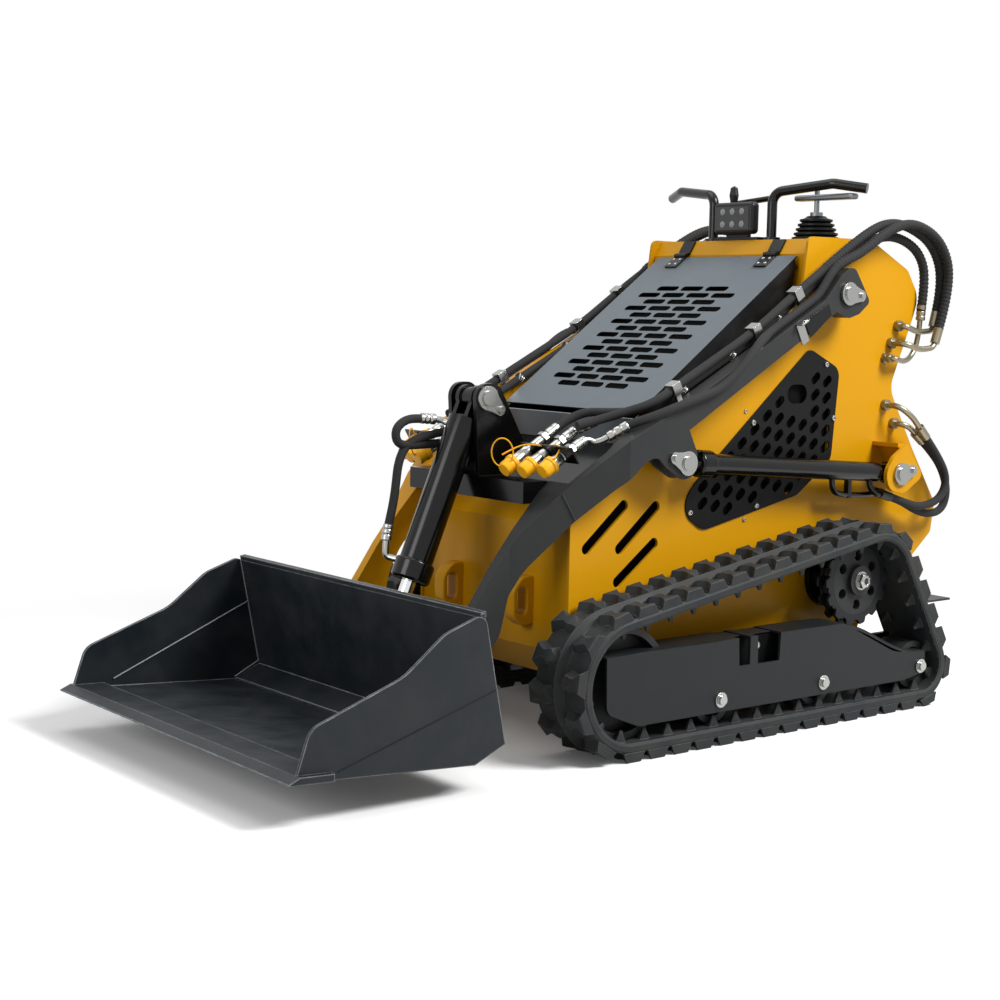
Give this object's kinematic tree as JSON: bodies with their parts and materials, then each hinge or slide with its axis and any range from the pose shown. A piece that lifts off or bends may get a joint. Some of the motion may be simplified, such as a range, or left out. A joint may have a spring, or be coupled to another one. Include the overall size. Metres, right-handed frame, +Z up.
{
  "type": "mini track loader",
  "caption": "Stand-on skid steer loader on rubber tracks: yellow body, grille hood, lift arms with hydraulic cylinders and a tilting bucket.",
  "frame": {"origin": "on the ground under the middle of the machine", "axes": "+X forward to the bucket, +Y to the left, +Z up"},
  "size_m": [2.38, 1.06, 1.4041],
  "materials": {
    "yellow_paint": "gloss yellow enamel",
    "charcoal_paint": "satin charcoal enamel",
    "black_paint": "satin black enamel",
    "grey_paint": "satin grey enamel",
    "track_rubber": "moulded black rubber",
    "zinc_steel": "zinc plated steel",
    "bare_steel": "worn bare steel",
    "rod_chrome": "polished hard chrome",
    "cast_metal": "rough cast metal",
    "black_plastic": "moulded black plastic",
    "hose_rubber": "black hydraulic hose",
    "yellow_plastic": "moulded yellow plastic",
    "soft_rubber": "soft pleated rubber"
  },
  "bodies": {
    "chassis": {"track_left": "track_rubber", "track_right": "track_rubber", "front_idlers": "charcoal_paint", "track_rollers": "charcoal_paint", "sprockets": "charcoal_paint", "drive_motors": "black_paint", "track_frames": "black_paint", "track_axles": "zinc_steel", "track_cover_left": "charcoal_paint", "track_cover_right": "charcoal_paint", "side_panel_left": "yellow_paint", "side_panel_right": "yellow_paint", "vent_guard_left": "black_paint", "vent_guard_right": "black_paint", "body_shell": "yellow_paint", "console": "yellow_paint", "front_deck": "black_paint", "cowl": "grey_paint", "engine_block": "cast_metal", "tie_down_eyes": "yellow_paint", "body_pins": "zinc_steel", "cylinder_ears": "yellow_paint", "hinge_leaves": "black_paint", "hand_bars": "black_paint", "work_lamp": "black_plastic", "lever_boot": "soft_rubber", "drive_lever": "bare_steel", "throttle_lever": "black_plastic", "brake_lever": "black_paint", "platform_bracket": "black_paint", "hose_loops": "hose_rubber", "panel_fittings": "zinc_steel", "lower_hoses_left": "hose_rubber", "lower_hoses_right": "hose_rubber"},
    "lift_arms": {"arm_left": "charcoal_paint", "arm_right": "yellow_paint", "cross_member": "black_paint", "arm_pins": "zinc_steel", "arm_hoses": "hose_rubber", "hose_clamps": "zinc_steel", "couplers": "zinc_steel", "coupler_caps": "yellow_plastic"},
    "lift_barrel_left": {"lift_barrel_left": "black_paint", "lift_pipes_left": "zinc_steel"},
    "lift_barrel_right": {"lift_barrel_right": "black_paint", "lift_pipes_right": "zinc_steel"},
    "lift_rod_left": {"lift_rod_left": "rod_chrome"},
    "lift_rod_right": {"lift_rod_right": "rod_chrome"},
    "tilt_barrel": {"tilt_barrel": "black_paint"},
    "tilt_rod": {"tilt_rod": "rod_chrome"},
    "bucket": {"bucket_shell": "charcoal_paint", "cutting_edge": "charcoal_paint", "bucket_mount": "charcoal_paint", "bucket_pins": "zinc_steel"},
    "hood": {"hood": "grey_paint", "hood_hinges": "black_paint"},
    "platform": {"platform": "charcoal_paint"}
  },
  "joints": [
    {"name": "arm_lift", "type": "hinge", "parent": "chassis", "child": "lift_arms", "pos_m": [-0.585, 0, 1.102], "axis": [0, -1, 0], "range_deg": [0, 70], "deforming": ["hose_loops"]},
    {"name": "lift_barrel_left_swing", "type": "hinge", "parent": "chassis", "child": "lift_barrel_left", "pos_m": [-0.808, 0.36, 0.624], "axis": [0, -1, 0], "range_deg": [0, 43.26], "deforming": ["lower_hoses_left"]},
    {"name": "lift_rod_left_slide", "type": "slide", "parent": "lift_barrel_left", "child": "lift_rod_left", "axis": [0.9973, 0, 0.0734], "range_m": [0, 0.4281]},
    {"name": "lift_barrel_right_swing", "type": "hinge", "parent": "chassis", "child": "lift_barrel_right", "pos_m": [-0.808, -0.36, 0.624], "axis": [0, -1, 0], "range_deg": [0, 43.26], "deforming": ["lower_hoses_right"]},
    {"name": "lift_rod_right_slide", "type": "slide", "parent": "lift_barrel_right", "child": "lift_rod_right", "axis": [0.9973, 0, 0.0734], "range_m": [0, 0.4281]},
    {"name": "bucket_tilt", "type": "hinge", "parent": "lift_arms", "child": "bucket", "pos_m": [0.572, 0, 0.205], "axis": [0, -1, 0], "range_deg": [-100, 4]},
    {"name": "tilt_barrel_swing", "type": "hinge", "parent": "lift_arms", "child": "tilt_barrel", "pos_m": [0.343, 0, 0.829], "axis": [0, -1, 0], "range_deg": [-0.48, 9.6]},
    {"name": "tilt_rod_slide", "type": "slide", "parent": "tilt_barrel", "child": "tilt_rod", "axis": [0.3863, 0, -0.9224], "range_m": [-0.0071, 0.1646]},
    {"name": "hood_open", "type": "hinge", "parent": "chassis", "child": "hood", "pos_m": [-0.51412, 0, 1.20409], "axis": [0, -1, 0], "range_deg": [0, 70]},
    {"name": "platform_fold", "type": "hinge", "parent": "chassis", "child": "platform", "pos_m": [-0.985, 0, 0.25], "axis": [0, 1, 0], "range_deg": [0, 55]}
  ],
  "couplings": [
    {"joint": "lift_barrel_left_swing", "follows": "arm_lift", "ratio": 0.6152},
    {"joint": "lift_rod_left_slide", "follows": "arm_lift", "m_per_rad": 0.3496},
    {"joint": "lift_barrel_right_swing", "follows": "arm_lift", "ratio": 0.6152},
    {"joint": "lift_rod_right_slide", "follows": "arm_lift", "m_per_rad": 0.3496},
    {"joint": "tilt_barrel_swing", "follows": "bucket_tilt", "ratio": -0.095},
    {"joint": "tilt_rod_slide", "follows": "bucket_tilt", "m_per_rad": -0.094}
  ]
}
